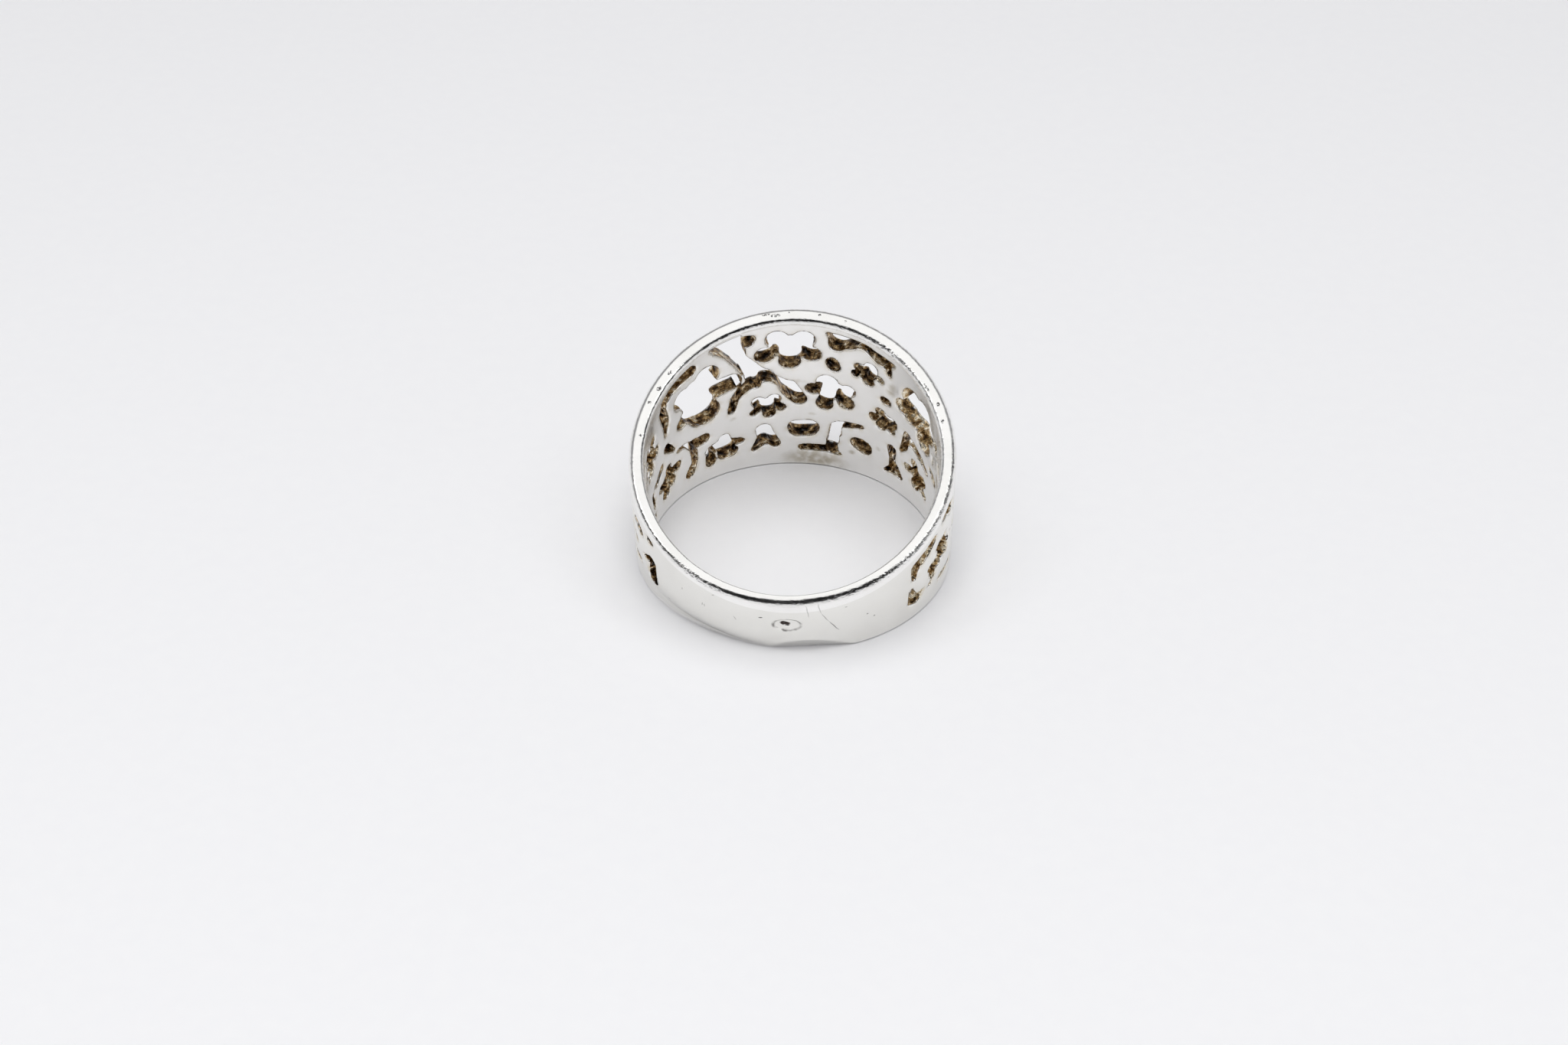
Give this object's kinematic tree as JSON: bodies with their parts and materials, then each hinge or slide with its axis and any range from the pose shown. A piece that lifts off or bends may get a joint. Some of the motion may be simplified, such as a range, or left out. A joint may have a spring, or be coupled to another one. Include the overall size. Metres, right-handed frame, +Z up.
{
  "type": "filigree openwork ring",
  "caption": "Wide cast finger ring with a pierced pattern of flowers, leaves and vines that tapers to a plain narrow back.",
  "frame": {"origin": "where the axis of the finger hole meets the floor that the ring lies on", "axes": "+Z up, +Y towards the tall openwork front, X across the ring; the finger hole leans back by the slope of the band's edges"},
  "size_m": [0.02, 0.0215, 0.0136],
  "materials": {
    "silver": "worn polish"
  },
  "bodies": {
    "root": {"openwork_band": "silver"}
  },
  "joints": []
}
